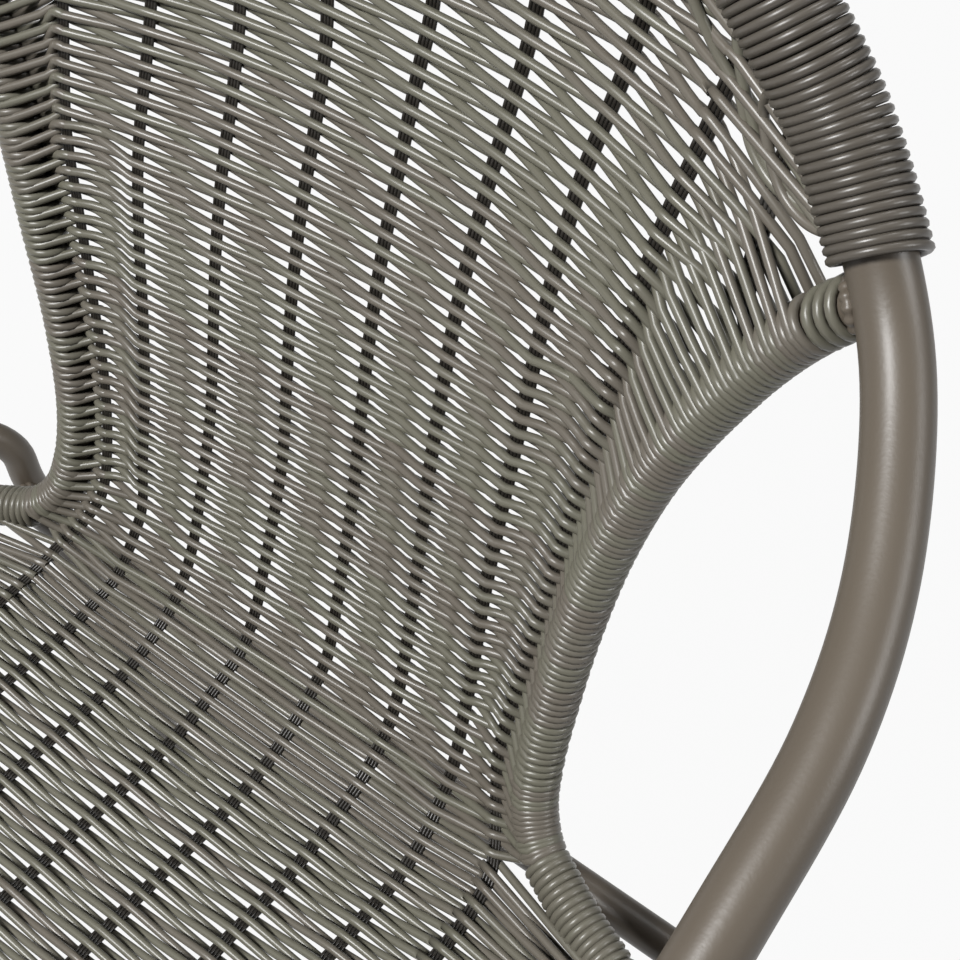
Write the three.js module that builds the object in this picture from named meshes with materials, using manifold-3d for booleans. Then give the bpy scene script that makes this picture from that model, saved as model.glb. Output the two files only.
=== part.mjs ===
// Woven bistro armchair. Units are millimetres, +Z is up, the chair faces -Y, the sitter's left is +X,
// and the origin is on the floor at the middle of the chair.
//
// How the real chair is built: one hoop of round tube makes both front legs, both arms and the top of
// the back, in two bent halves that meet over an inner spigot. A thinner bar leaves each arm, curves
// in to a narrow waist, then turns out and forward to carry the seat. Bent rear legs run forward
// under the arms. Round strand is wound round the bars and woven into the back and the seat.

import * as THREE from 'three';
import { mergeVertices } from 'three/addons/utils/BufferGeometryUtils.js';
import Module from 'manifold-3d';

// Tube and strand sizes
const GAP = 0.3;
const JOINT_GAP = 1.2;
const HOOP_RADIUS = 11;
const HOOP_BORE = 9.5;
const BAR_RADIUS = 7;
const LEG_RADIUS = 9;
const LEG_BORE = 7.5;
const CROSSBAR_RADIUS = 9;
const STRAND = 3.5;
const ARM_WRAP_RADIUS = 15.8;
const BAR_WRAP_RADIUS = BAR_RADIUS + STRAND;

// Facets: sides round a section and rings along its path
const HOOP_SIDES = 12;
const HOOP_STEPS = 42;
const LEG_SIDES = 12;
const LEG_STEPS = 24;
const BAR_SIDES = 10;
const WRAP_SIDES = 10;
const SIDE_WRAP_STEPS = 37;
const SIDE_BAR_STEPS = 42;
const FRONT_STEPS = 10;
const TOP_WRAP_SIDES = 12;
const TOP_WRAP_STEPS = 36;

// Heights and plan sizes
const SEAT_HEIGHT = 437;
const SEAT_HALF_WIDTH = 243;
const SEAT_FRONT = -258.5;
const FRONT_JOINT = 115;
const REAR_CROSSBAR_Y = 190;
const REAR_CROSSBAR_HEIGHT = 385;
const FRONT_CROSSBAR_DROP = 12;
const WAIST_HALF_WIDTH = 145;
const TOP_HEIGHT = 884;
const WEAVE_THICKNESS = 8;
const CUT_TOLERANCE = 0.15;
const SEAT_DIP = 21;
const DIP_DEEPEST_Y = 80;
const CREASE_RISE = 15;
const CREASE_CURVE = 2.6;
const CREASE_SET_BACK = 8;
const BACK_BULGE = 21;

// Wound strand at the lower end of each arm's wrap, and the wrap's ends along the tubes
const WRAP_LOOPS = 6;
const LOOP_PITCH = 4.7;
const LOOP_STEPS = 24;
const LOOP_SIDES = 6;
const WRAP_END_HEIGHT = 767;
const STUB_LENGTH = 18;

// Glides under the four legs
const GLIDE_HEIGHT = 6;
const GLIDE_RADIUS = 13;
const STEM_LENGTH = 22;

const wasm = await Module();
wasm.setup();

const frameCoat = () => new THREE.MeshStandardMaterial({ color: '#8a7f72', roughness: 0.45, metalness: 0.1 });
const strandSkin = () => new THREE.MeshStandardMaterial({ color: '#7a746a', roughness: 0.4, metalness: 0 });
const glidePlastic = () => new THREE.MeshStandardMaterial({ color: '#3a3733', roughness: 0.6, metalness: 0 });

const vec = (x, y, z) => new THREE.Vector3(x, y, z);

// side is +1 for the sitter's left and -1 for the right
function smoothPath(points, side = 1) {
  return new THREE.CatmullRomCurve3(points.map(([x, y, z]) => vec(side * x, y, z)), false, 'centripetal');
}

// Hoop: front leg, arm and half of the top, from the floor to the middle of the back
function hoopPath(side) {
  return smoothPath([
    [250, -224, GLIDE_HEIGHT + 0.5],
    [254, -218, 120],
    [259, -211, 240],
    [263, -201, 345],
    [268, -182, 435],
    [273, -150, 508],
    [278, -102, 566],
    [282, -42, 613],
    [285, 20, 649],
    [285, 72, 674],
    [282, 124, 696],
    [270, 168, 714],
    [248, 209, 740],
    [230, 227.5, 760.6],
    [202, 238.7, 797.3],
    [182.5, 239.2, 821.7],
    [161.6, 239.6, 843.3],
    [135, 241.4, 861.3],
    [99.5, 246.3, 874.4],
    [50, 252.5, TOP_HEIGHT - 1],
    [JOINT_GAP / 2, 253, TOP_HEIGHT],
  ], side);
}

// Bar from the arm down to the waist, then out and forward along the side of the seat
function sideBarPath(side) {
  return smoothPath([
    [231.8, 226.2, 761],
    [209, 228.7, 733.3],
    [191.5, 224.4, 705.5],
    [170, 214, 658.4],
    [157.6, 205.4, 612.8],
    [149, 198.9, 560.5],
    [WAIST_HALF_WIDTH, 190.7, 510.8],
    [145.5, 182.2, 481.9],
    [150, 173.1, 462.1],
    [160.8, 163.9, SEAT_HEIGHT + 12.6],
    [177.7, 156, SEAT_HEIGHT + 7.6],
    [196, 148.1, SEAT_HEIGHT + 4.1],
    [217.4, 139.5, SEAT_HEIGHT + 1.7],
    [233.9, 122.2, SEAT_HEIGHT + 0.3],
    [240.8, 92.2, SEAT_HEIGHT - 0.6],
    [SEAT_HALF_WIDTH, 0, SEAT_HEIGHT - 1],
    [SEAT_HALF_WIDTH - 1, -100, SEAT_HEIGHT],
    [SEAT_HALF_WIDTH - 7, -172, SEAT_HEIGHT],
    [SEAT_HALF_WIDTH - 25, -214, SEAT_HEIGHT],
    [SEAT_HALF_WIDTH - 60, -241, SEAT_HEIGHT],
    [SEAT_HALF_WIDTH - 93, -251, SEAT_HEIGHT],
    [FRONT_JOINT, SEAT_FRONT + 3, SEAT_HEIGHT],
  ], side);
}

// Front bar between the two side bars
function frontBarPath(end = FRONT_JOINT - JOINT_GAP) {
  return smoothPath([
    [-end, SEAT_FRONT + 3, SEAT_HEIGHT],
    [-55, SEAT_FRONT + 0.6, SEAT_HEIGHT],
    [0, SEAT_FRONT, SEAT_HEIGHT],
    [55, SEAT_FRONT + 0.6, SEAT_HEIGHT],
    [end, SEAT_FRONT + 3, SEAT_HEIGHT],
  ]);
}

// Rear leg, bent at seat level to run forward under the arm to the front leg
function rearLegPath(side) {
  return smoothPath([
    [231, 256, GLIDE_HEIGHT + 1],
    [229, 237, 140],
    [227, 218, 280],
    [232.8, 201.4, 389.4],
    [235.1, 199.4, 413.3],
    [242.5, 189.5, 428.1],
    [253, 168.8, 432.4],
    [262, 133, 431.6],
    [265.1, 61.1, 429.8],
    [267, -60, 430],
    [268, -182, 430],
  ], side);
}

// Closed round sweep, with a bore when one is given. Its rings follow the path's own points, which
// lie closer together in the bends.
function sweep(path, radius, sides, steps, bore = 0, boreSides = 6) {
  const circle = (r, count) => Array.from({ length: count }, (_, i) => {
    const angle = (2 * Math.PI * i) / count;
    return new THREE.Vector2(r * Math.cos(angle), r * Math.sin(angle));
  });
  const section = new THREE.Shape(circle(radius, sides));
  if (bore > 0) section.holes.push(new THREE.Path(circle(bore, boreSides)));
  const stations = path.clone();
  stations.getUtoTmapping = (u) => u;
  return new THREE.ExtrudeGeometry(section, { steps, extrudePath: stations, bevelEnabled: false });
}

// Part of a path between two fractions of its length
function stretch(path, from, to, points = 24) {
  const list = [];
  const start = path.getUtoTmapping(from);
  const end = path.getUtoTmapping(to);
  for (let i = 0; i <= points; i += 1) list.push(path.getPoint(start + ((end - start) * i) / points));
  return new THREE.CatmullRomCurve3(list, false, 'centripetal');
}

// Fraction of a path's length where a test on its point first holds
function fractionWhere(path, test) {
  const count = 2000;
  for (let i = 0; i <= count; i += 1) {
    if (test(path.getPointAt(i / count))) return i / count;
  }
  return 1;
}

function toSolid(geometry) {
  const bare = geometry.clone();
  bare.deleteAttribute('normal');
  bare.deleteAttribute('uv');
  const merged = mergeVertices(bare, 1e-3);
  const mesh = new wasm.Mesh({
    numProp: 3,
    vertProperties: new Float32Array(merged.attributes.position.array),
    triVerts: new Uint32Array(merged.index.array),
  });
  return new wasm.Manifold(mesh);
}

function toGeometry(solid) {
  const mesh = solid.getMesh();
  const geometry = new THREE.BufferGeometry();
  geometry.setAttribute('position', new THREE.BufferAttribute(new Float32Array(mesh.vertProperties), 3));
  geometry.setIndex(new THREE.BufferAttribute(new Uint32Array(mesh.triVerts), 1));
  return geometry;
}

// Largest piece of a shape that is left when the tools are taken away
function cut(geometry, ...tools) {
  const left = tools.reduce((solid, tool) => solid.subtract(toSolid(tool)), toSolid(geometry));
  const largest = left.decompose().sort((a, b) => b.volume() - a.volume())[0];
  return toGeometry(largest.simplify(CUT_TOLERANCE));
}

function piece(name, geometry, material) {
  geometry.computeVertexNormals();
  const mesh = new THREE.Mesh(geometry, material);
  mesh.name = name;
  return mesh;
}

// Each tube has a plain copy that is larger by the fitting gap, to cut its neighbours
const FIT = 1.6 * GAP;
const hoopTool = (side) => sweep(hoopPath(side), HOOP_RADIUS + FIT, HOOP_SIDES, HOOP_STEPS);
const legTool = (side) => sweep(rearLegPath(side), LEG_RADIUS + FIT, LEG_SIDES, LEG_STEPS);
const sideWrapTool = (side) => sweep(coveredSide(side), BAR_WRAP_RADIUS + FIT, WRAP_SIDES, SIDE_WRAP_STEPS);

function hoopHalf(side) {
  return sweep(hoopPath(side), HOOP_RADIUS, HOOP_SIDES, HOOP_STEPS, HOOP_BORE);
}

// Short inner tube that joins the two halves of the hoop at the top
function hoopSpigot() {
  const reach = 28;
  const end = (x) => vec(x, 252.8, TOP_HEIGHT - 0.3);
  return sweep(new THREE.LineCurve3(end(-reach), end(reach)), 7.2, 10, 1);
}

// The bar's upper end is coped to sit on the side of the arm tube
function sideBar(side) {
  return cut(sweep(sideBarPath(side), BAR_RADIUS, BAR_SIDES, SIDE_BAR_STEPS), hoopTool(side));
}

function rearLeg(side) {
  return cut(sweep(rearLegPath(side), LEG_RADIUS, LEG_SIDES, LEG_STEPS, LEG_BORE), hoopTool(side));
}

// Straight crossbar between the rear legs, coped at both ends to the tubes
function rearCrossbar() {
  const end = (side) => vec(side * 236, REAR_CROSSBAR_Y, REAR_CROSSBAR_HEIGHT);
  const bar = sweep(new THREE.LineCurve3(end(-1), end(1)), CROSSBAR_RADIUS, 12, 1);
  return cut(bar, legTool(1), legTool(-1));
}

// The front crossbar carries the side bars and bows down between them, clear of the sagging seat
function frontCrossbar() {
  const y = -190;
  const z = SEAT_HEIGHT - BAR_WRAP_RADIUS - CROSSBAR_RADIUS - 1;
  const path = smoothPath([
    [-266, y, z],
    [-234, y, z],
    [-170, y, z - 0.8 * FRONT_CROSSBAR_DROP],
    [0, y, z - FRONT_CROSSBAR_DROP],
    [170, y, z - 0.8 * FRONT_CROSSBAR_DROP],
    [234, y, z],
    [266, y, z],
  ]);
  return cut(sweep(path, CROSSBAR_RADIUS, 10, 8), hoopTool(1), hoopTool(-1), legTool(1), legTool(-1));
}

// Fillet of weld round the end of a bar, where it meets another tube
function weldRing(path, fraction, barRadius, tools) {
  const centre = path.getPointAt(fraction);
  const along = path.getTangentAt(fraction);
  const ring = new THREE.TorusGeometry(barRadius + 1.6, 2.2, 5, 12);
  ring.applyQuaternion(new THREE.Quaternion().setFromUnitVectors(vec(0, 0, 1), along));
  ring.translate(centre.x, centre.y, centre.z);
  return cut(ring, ...tools);
}

function armWeld(side) {
  const path = sideBarPath(side);
  const fraction = fractionWhere(path, (point) => point.distanceTo(path.getPointAt(0)) > HOOP_RADIUS + 2);
  const bar = sweep(stretch(path, 0, 0.1), BAR_RADIUS + 0.4, 16, 8);
  return weldRing(path, fraction, BAR_RADIUS, [bar, hoopTool(side)]);
}

// Stretch of the side bar that the strand covers
function coveredSide(side) {
  const path = sideBarPath(side);
  const length = path.getLength();
  return stretch(path, STUB_LENGTH / length, 1 - 1 / length, 90);
}

function sideWrap(side) {
  return sweep(coveredSide(side), BAR_WRAP_RADIUS, WRAP_SIDES, SIDE_WRAP_STEPS, BAR_RADIUS + 1.6, 8);
}

function frontWrap() {
  const covered = stretch(frontBarPath(), 0.001, 0.999);
  return sweep(covered, BAR_WRAP_RADIUS, WRAP_SIDES, FRONT_STEPS, BAR_RADIUS + 1.6, 8);
}

// Where the wound strand and the plain sleeve meet on the hoop, as fractions of its length
function wrapFractions(side) {
  const path = hoopPath(side);
  const end = fractionWhere(path, (point) => point.z > WRAP_END_HEIGHT);
  const wound = (WRAP_LOOPS * LOOP_PITCH + STRAND + 1.5) / path.getLength();
  return { path, end, sleeve: end + wound };
}

function topWrapPath() {
  const half = (side) => {
    const { path, sleeve } = wrapFractions(side);
    return stretch(path, sleeve, 1, 30).points;
  };
  const points = [...half(-1).slice(0, -1), ...half(1).reverse()];
  return new THREE.CatmullRomCurve3(points, false, 'centripetal');
}

function topWrap() {
  return sweep(topWrapPath(), ARM_WRAP_RADIUS, TOP_WRAP_SIDES, TOP_WRAP_STEPS, HOOP_RADIUS + 2.6, 8);
}

// Centre line of the wound strand, with a straight end of one strand at each end
function windingPoints(side) {
  const { path, end } = wrapFractions(side);
  const length = path.getLength();
  const radius = ARM_WRAP_RADIUS - STRAND / 2;
  const points = [];
  for (let i = 0; i <= WRAP_LOOPS * LOOP_STEPS; i += 1) {
    const turn = i / LOOP_STEPS;
    const at = end + (STRAND / 2 + turn * LOOP_PITCH) / length;
    const centre = path.getPointAt(at);
    const tangent = path.getTangentAt(at);
    const radial = vec(0, 1, 0).addScaledVector(tangent, -tangent.y).normalize();
    const across = new THREE.Vector3().crossVectors(tangent, radial);
    const angle = side * 2 * Math.PI * turn;
    const out = radial.multiplyScalar(Math.cos(angle)).addScaledVector(across, Math.sin(angle));
    points.push({ centre, out, at: centre.clone().addScaledVector(out, radius) });
  }
  const straight = (a, b) => ({
    centre: a.centre,
    out: a.out,
    at: a.at.clone().add(a.at.clone().sub(b.at).setLength(STRAND)),
  });
  return [straight(points[0], points[1]), ...points, straight(points.at(-1), points.at(-2))];
}

// Least clear distance between turns of the winding, measured on its points
function leastGap(points) {
  let least = Infinity;
  for (let i = 0; i < points.length; i += 1) {
    for (let j = i + LOOP_STEPS / 2; j < points.length; j += 1) {
      least = Math.min(least, points[i].at.distanceTo(points[j].at));
    }
  }
  return least - STRAND;
}

function winding(side) {
  const points = windingPoints(side);
  console.log(`winding ${side > 0 ? 'left' : 'right'}: least gap ${leastGap(points).toFixed(2)} mm`);
  const positions = [];
  points.forEach((point, i) => {
    const next = points[Math.min(i + 1, points.length - 1)].at;
    const before = points[Math.max(i - 1, 0)].at;
    const along = next.clone().sub(before).normalize();
    const out = point.out.clone().addScaledVector(along, -along.dot(point.out)).normalize();
    const flat = new THREE.Vector3().crossVectors(along, out);
    for (let k = 0; k < LOOP_SIDES; k += 1) {
      const angle = (2 * Math.PI * k) / LOOP_SIDES;
      const spot = point.at.clone()
        .addScaledVector(out, (STRAND / 2) * Math.cos(angle))
        .addScaledVector(flat, (STRAND / 2) * Math.sin(angle));
      positions.push(spot.x, spot.y, spot.z);
    }
  });
  return tubeGeometry(positions, points.length, LOOP_SIDES);
}

// Closed tube from rings of points
function tubeGeometry(positions, rings, sides) {
  const faces = [];
  for (let i = 0; i < rings - 1; i += 1) {
    for (let k = 0; k < sides; k += 1) {
      const a = i * sides + k;
      const b = i * sides + ((k + 1) % sides);
      faces.push(a, b, b + sides, a, b + sides, a + sides);
    }
  }
  const last = (rings - 1) * sides;
  for (let k = 1; k < sides - 1; k += 1) {
    faces.push(0, k + 1, k);
    faces.push(last, last + k, last + k + 1);
  }
  const geometry = new THREE.BufferGeometry();
  geometry.setAttribute('position', new THREE.Float32BufferAttribute(positions, 3));
  geometry.setIndex(faces);
  return geometry;
}

// Surface that fills four border curves. Each curve is a function of 0..1, and thick is the offset
// from the middle surface to one face. The shape moves each point of that surface.
function woven(bottom, top, left, right, thick, shape, across = 14, up = 10) {
  const point = (s, t) => {
    const spot = bottom(s).multiplyScalar(1 - t).addScaledVector(top(s), t);
    spot.addScaledVector(left(t), 1 - s).addScaledVector(right(t), s);
    spot.addScaledVector(bottom(0), -(1 - s) * (1 - t)).addScaledVector(bottom(1), -s * (1 - t));
    spot.addScaledVector(top(0), -(1 - s) * t).addScaledVector(top(1), -s * t);
    return shape(spot, s, t);
  };
  const positions = [];
  for (const sign of [1, -1]) {
    for (let j = 0; j <= up; j += 1) {
      for (let i = 0; i <= across; i += 1) {
        const spot = point(i / across, j / up).addScaledVector(thick, sign);
        positions.push(spot.x, spot.y, spot.z);
      }
    }
  }
  const row = across + 1;
  const sheet = row * (up + 1);
  const faces = [];
  const quad = (a, b, c, d) => faces.push(a, b, c, a, c, d);
  for (let j = 0; j < up; j += 1) {
    for (let i = 0; i < across; i += 1) {
      const a = j * row + i;
      quad(a, a + 1, a + row + 1, a + row);
      quad(sheet + a, sheet + a + row, sheet + a + row + 1, sheet + a + 1);
    }
  }
  for (let i = 0; i < across; i += 1) {
    quad(i, sheet + i, sheet + i + 1, i + 1);
    const a = up * row + i;
    quad(a, a + 1, sheet + a + 1, sheet + a);
  }
  for (let j = 0; j < up; j += 1) {
    quad(j * row, (j + 1) * row, sheet + (j + 1) * row, sheet + j * row);
    const a = j * row + across;
    quad(a, sheet + a, sheet + a + row, a + row);
  }
  const geometry = new THREE.BufferGeometry();
  geometry.setAttribute('position', new THREE.Float32BufferAttribute(positions, 3));
  geometry.setIndex(faces);
  return geometry;
}

// Fraction of the side bar's length at the crease
function creaseFraction(path) {
  return fractionWhere(path, (point) => point.z < SEAT_HEIGHT + 9);
}

// How far a point lies from the bars: 0 at both sides and 1 in the middle
const inward = (s) => 1 - (2 * s - 1) ** 2;

// Line across the chair between two points of the side bars, set back and down to the crease
function creaseLine(bars, fraction) {
  const from = bars.left.getPointAt(fraction);
  const to = bars.right.getPointAt(fraction);
  const sink = CREASE_RISE - SEAT_DIP;
  return (s) => from.clone().lerp(to, s).add(vec(0, CREASE_SET_BACK * inward(s), sink * inward(s)));
}

function backWeave() {
  const bars = { right: sideBarPath(1), left: sideBarPath(-1) };
  const low = creaseFraction(bars.right);
  const hoops = { right: hoopPath(1), left: hoopPath(-1) };
  const start = fractionWhere(hoops.right, (point) => point.z > 760 && point.x < 232);
  const edge = (bar) => (t) => bar.getPointAt(low * (1 - t));
  const top = (s) => {
    const half = Math.abs(2 * s - 1);
    return (s < 0.5 ? hoops.left : hoops.right).getPointAt(1 - (1 - start) * half);
  };
  const bulge = (spot, s, t) => spot.add(vec(0, BACK_BULGE * Math.sin(Math.PI * t * t) * inward(s), 0));
  const thick = vec(0, -WEAVE_THICKNESS / 2, 0);
  const sheet = woven(creaseLine(bars, low), top, edge(bars.left), edge(bars.right), thick, bulge);
  const wrapTool = sweep(topWrapPath(), ARM_WRAP_RADIUS + FIT, TOP_WRAP_SIDES, TOP_WRAP_STEPS);
  const windingTool = (side) => {
    const { path, end, sleeve } = wrapFractions(side);
    return sweep(stretch(path, end - 0.03, sleeve + 0.01), ARM_WRAP_RADIUS + 2 * FIT, TOP_WRAP_SIDES, 5);
  };
  const stubTool = (side) => {
    return sweep(stretch(sideBarPath(side), 0, 0.05), BAR_WRAP_RADIUS + FIT, WRAP_SIDES, 5);
  };
  const tools = [1, -1].flatMap((side) => [windingTool(side), stubTool(side), sideWrapTool(side)]);
  return cut(sheet, wrapTool, ...tools);
}

// The seat hangs from its bars: it sags towards the back, then rises through the crease
function seatWeave() {
  const bars = { right: sideBarPath(1), left: sideBarPath(-1) };
  const low = creaseFraction(bars.right) + 0.016;
  const crease = creaseLine(bars, low);
  const creaseY = crease(0).y;
  const edge = (bar) => (t) => bar.getPointAt(1 + (low - 1) * t);
  const front = frontBarPath();
  const line = (s) => crease(0).lerp(crease(1), s);
  const sag = (spot, s, t) => {
    const ahead = Math.max(0, (DIP_DEEPEST_Y - spot.y) / (DIP_DEEPEST_Y - SEAT_FRONT));
    const behind = Math.max(0, (spot.y - DIP_DEEPEST_Y) / (creaseY - DIP_DEEPEST_Y));
    const dip = SEAT_DIP * (1 - ahead ** 3) - CREASE_RISE * behind ** CREASE_CURVE;
    return spot.add(vec(0, CREASE_SET_BACK * inward(s) * t ** 8, -dip * inward(s)));
  };
  const thick = vec(0, 0, WEAVE_THICKNESS / 2);
  const sheet = woven((s) => front.getPointAt(s), line, edge(bars.left), edge(bars.right), thick, sag);
  const frontTool = sweep(frontBarPath(FRONT_JOINT + 8), BAR_WRAP_RADIUS + FIT, WRAP_SIDES, FRONT_STEPS);
  return cut(sheet, frontTool, sideWrapTool(1), sideWrapTool(-1));
}

// Glide: a flat foot with rounded edges and a stem that pushes up into the leg's bore
function glide(path, bore) {
  const foot = path.getPointAt(0);
  const profile = [
    [0, 0],
    [GLIDE_RADIUS - 1.5, 0],
    [GLIDE_RADIUS, 1.5],
    [GLIDE_RADIUS, 3.5],
    [GLIDE_RADIUS - 1.5, GLIDE_HEIGHT - 0.8],
    [0, GLIDE_HEIGHT - 0.8],
  ].map(([r, z]) => new THREE.Vector2(r, z));
  const disc = new THREE.LatheGeometry(profile, 14);
  disc.rotateX(Math.PI / 2);
  disc.translate(foot.x, foot.y, 0);
  const inside = stretch(path, 0, STEM_LENGTH / path.getLength(), 4).points;
  const stem = new THREE.CatmullRomCurve3([vec(foot.x, foot.y, GLIDE_HEIGHT / 2), ...inside]);
  const stemRadius = bore * Math.cos(Math.PI / 6) - 1;
  return toGeometry(toSolid(disc).add(toSolid(sweep(stem, stemRadius, 8, 4))));
}

const chair = new THREE.Group();
chair.name = 'woven_bistro_armchair';
const SIDES = [['left', 1], ['right', -1]];

for (const [word, side] of SIDES) {
  chair.add(piece(`hoop_tube_${word}`, hoopHalf(side), frameCoat()));
  chair.add(piece(`side_bar_${word}`, sideBar(side), frameCoat()));
  chair.add(piece(`rear_leg_${word}`, rearLeg(side), frameCoat()));
  chair.add(piece(`arm_weld_${word}`, armWeld(side), frameCoat()));
  chair.add(piece(`side_wrap_${word}`, sideWrap(side), strandSkin()));
  chair.add(piece(`arm_winding_${word}`, winding(side), strandSkin()));
  chair.add(piece(`front_glide_${word}`, glide(hoopPath(side), HOOP_BORE), glidePlastic()));
  chair.add(piece(`rear_glide_${word}`, glide(rearLegPath(side), LEG_BORE), glidePlastic()));
}
chair.add(piece('hoop_spigot', hoopSpigot(), frameCoat()));
chair.add(piece('front_bar', sweep(frontBarPath(), BAR_RADIUS, BAR_SIDES, FRONT_STEPS), frameCoat()));
chair.add(piece('rear_crossbar', rearCrossbar(), frameCoat()));
chair.add(piece('front_crossbar', frontCrossbar(), frameCoat()));
chair.add(piece('top_wrap', topWrap(), strandSkin()));
chair.add(piece('front_wrap', frontWrap(), strandSkin()));
chair.add(piece('back_weave', backWeave(), strandSkin()));
chair.add(piece('seat_weave', seatWeave(), strandSkin()));

export default chair;
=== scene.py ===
import math
import random

import bpy
import numpy as np
from mathutils import Matrix, Vector


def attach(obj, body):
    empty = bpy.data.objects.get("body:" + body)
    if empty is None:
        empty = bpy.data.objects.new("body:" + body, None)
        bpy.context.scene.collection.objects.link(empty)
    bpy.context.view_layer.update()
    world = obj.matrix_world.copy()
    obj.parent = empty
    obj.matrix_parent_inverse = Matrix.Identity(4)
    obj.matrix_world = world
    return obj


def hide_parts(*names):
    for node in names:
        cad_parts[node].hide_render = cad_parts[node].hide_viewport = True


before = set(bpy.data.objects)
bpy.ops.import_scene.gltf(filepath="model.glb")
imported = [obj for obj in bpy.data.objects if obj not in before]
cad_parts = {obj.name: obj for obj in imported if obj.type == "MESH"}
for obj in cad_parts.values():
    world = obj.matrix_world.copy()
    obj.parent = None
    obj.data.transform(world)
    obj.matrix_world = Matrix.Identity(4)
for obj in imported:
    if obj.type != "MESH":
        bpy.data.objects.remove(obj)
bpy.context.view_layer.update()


# The picture: the chair stands on a pale studio floor and is seen from above its
# left arm, close enough that only the arm, the waist and part of the seat show.
def deselect():
    bpy.ops.object.select_all(action="DESELECT")


def linear(hex_colour):
    values = [int(hex_colour[i:i + 2], 16) / 255 for i in (1, 3, 5)]
    return [v / 12.92 if v <= 0.04045 else ((v + 0.055) / 1.055) ** 2.4 for v in values] + [1.0]


def add_node(owner, kind, settings=None, links=None):
    """one node, its settings (attributes or input values) and what feeds its inputs"""
    node = owner.node_tree.nodes.new(kind)
    for key, value in (settings or {}).items():
        if isinstance(key, int) or key in node.inputs:
            node.inputs[key].default_value = value
        else:
            setattr(node, key, value)
    for key, source in (links or {}).items():
        owner.node_tree.links.new(source, node.inputs[key])
    return node


def new_material(name):
    material = bpy.data.materials.new(name)
    material.use_nodes = True
    material.node_tree.nodes.clear()
    return material


SENSOR_WIDTH = 36
PICTURE_PIXELS = 960
FOCAL_PIXELS = 1608.07
CAMERA_RIGHT = (0.78557, 0.61876, -0.00407)
CAMERA_UP = (-0.4547, 0.58171, 0.67444)
CAMERA_BACK = (0.41968, -0.52796, 0.73832)
CAMERA_PLACE = (0.3591, -0.1263, 1.0697)
camera_data = bpy.data.cameras.new("camera")
camera_data.sensor_width = SENSOR_WIDTH
camera_data.lens = FOCAL_PIXELS / PICTURE_PIXELS * SENSOR_WIDTH
camera_data.clip_end = 30
camera = bpy.data.objects.new("camera", camera_data)
camera_axes = ((*CAMERA_RIGHT, 0), (*CAMERA_UP, 0), (*CAMERA_BACK, 0), (*CAMERA_PLACE, 1))
camera.matrix_world = Matrix(camera_axes).transposed()
bpy.context.collection.objects.link(camera)
bpy.context.scene.camera = camera

# To the camera and in reflections the floor is nearly all white glow, with enough
# paint left to keep the chair's shadow. Where it lights the chair it is grey paint.
FLOOR_SIZE = 9.0
FLOOR_GLOW_SHARE = 0.95
floor_paint = new_material("matt_studio_floor")
light_path = add_node(floor_paint, "ShaderNodeLightPath")
seen = add_node(floor_paint, "ShaderNodeMath", {"operation": "MAXIMUM"},
                {0: light_path.outputs["Is Camera Ray"], 1: light_path.outputs["Is Glossy Ray"]})
seen = add_node(floor_paint, "ShaderNodeMath", {"operation": "MAXIMUM"},
                {0: seen.outputs[0], 1: light_path.outputs["Is Transmission Ray"]})
share = add_node(floor_paint, "ShaderNodeMath", {"operation": "MULTIPLY", 1: FLOOR_GLOW_SHARE},
                 {0: seen.outputs[0]})
paint = add_node(floor_paint, "ShaderNodeBsdfDiffuse", {"Color": linear("#6c6b69")})
glow = add_node(floor_paint, "ShaderNodeEmission", {"Color": linear("#ffffff"), "Strength": 1.0})
both = add_node(floor_paint, "ShaderNodeMixShader", None,
                {0: share.outputs[0], 1: paint.outputs[0], 2: glow.outputs[0]})
add_node(floor_paint, "ShaderNodeOutputMaterial", None, {"Surface": both.outputs[0]})

deselect()
bpy.ops.mesh.primitive_plane_add(size=FLOOR_SIZE, location=(0, 0, 0))
floor = bpy.context.object
floor.name = "studio_floor"
floor.data.materials.append(floor_paint)

# Three square soft boxes: the strong key hangs above and behind the camera, to
# its left, and two weak ones fill from above the back and from beside the arm.
LAMP_WIDTH = 0.6
LAMP_TARGET = Vector((0.1, 0.1, 0.6))
for name, position, power in (
        ("key_softbox", (-0.4, -1.35, 2.45), 82),
        ("top_softbox", (0.1, 1.1, 2.6), 9),
        ("side_softbox", (1.9, 0.75, 1.6), 15)):
    lamp_data = bpy.data.lights.new(name, "AREA")
    lamp_data.shape = "SQUARE"
    lamp_data.size = LAMP_WIDTH
    lamp_data.energy = power
    lamp = bpy.data.objects.new(name, lamp_data)
    lamp.location = position
    lamp.rotation_euler = (LAMP_TARGET - Vector(position)).to_track_quat("-Z", "Y").to_euler()
    bpy.context.collection.objects.link(lamp)

# The backdrop is white to the camera, dimmer in reflections, and lights the
# chair only faintly.
BACKDROP_IN_REFLECTIONS = 0.3
BACKDROP_LIGHT = 0.04
world = bpy.data.worlds.new("studio")
bpy.context.scene.world = world
world.use_nodes = True
backdrop = world.node_tree.nodes["Background"]
backdrop.inputs["Color"].default_value = linear("#ffffff")
ray = add_node(world, "ShaderNodeLightPath")
plain = add_node(world, "ShaderNodeMath", {"operation": "MAXIMUM"},
                 {0: ray.outputs["Is Camera Ray"], 1: ray.outputs["Is Transmission Ray"]})
mirrored = add_node(world, "ShaderNodeMath", {"operation": "MULTIPLY", 1: BACKDROP_IN_REFLECTIONS},
                    {0: ray.outputs["Is Glossy Ray"]})
level = add_node(world, "ShaderNodeMath", {"operation": "MAXIMUM"},
                 {0: plain.outputs[0], 1: mirrored.outputs[0]})
level = add_node(world, "ShaderNodeMath", {"operation": "MAXIMUM", 1: BACKDROP_LIGHT},
                 {0: level.outputs[0]})
world.node_tree.links.new(level.outputs[0], backdrop.inputs["Strength"])
bpy.context.scene.view_settings.view_transform = "Standard"


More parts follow.
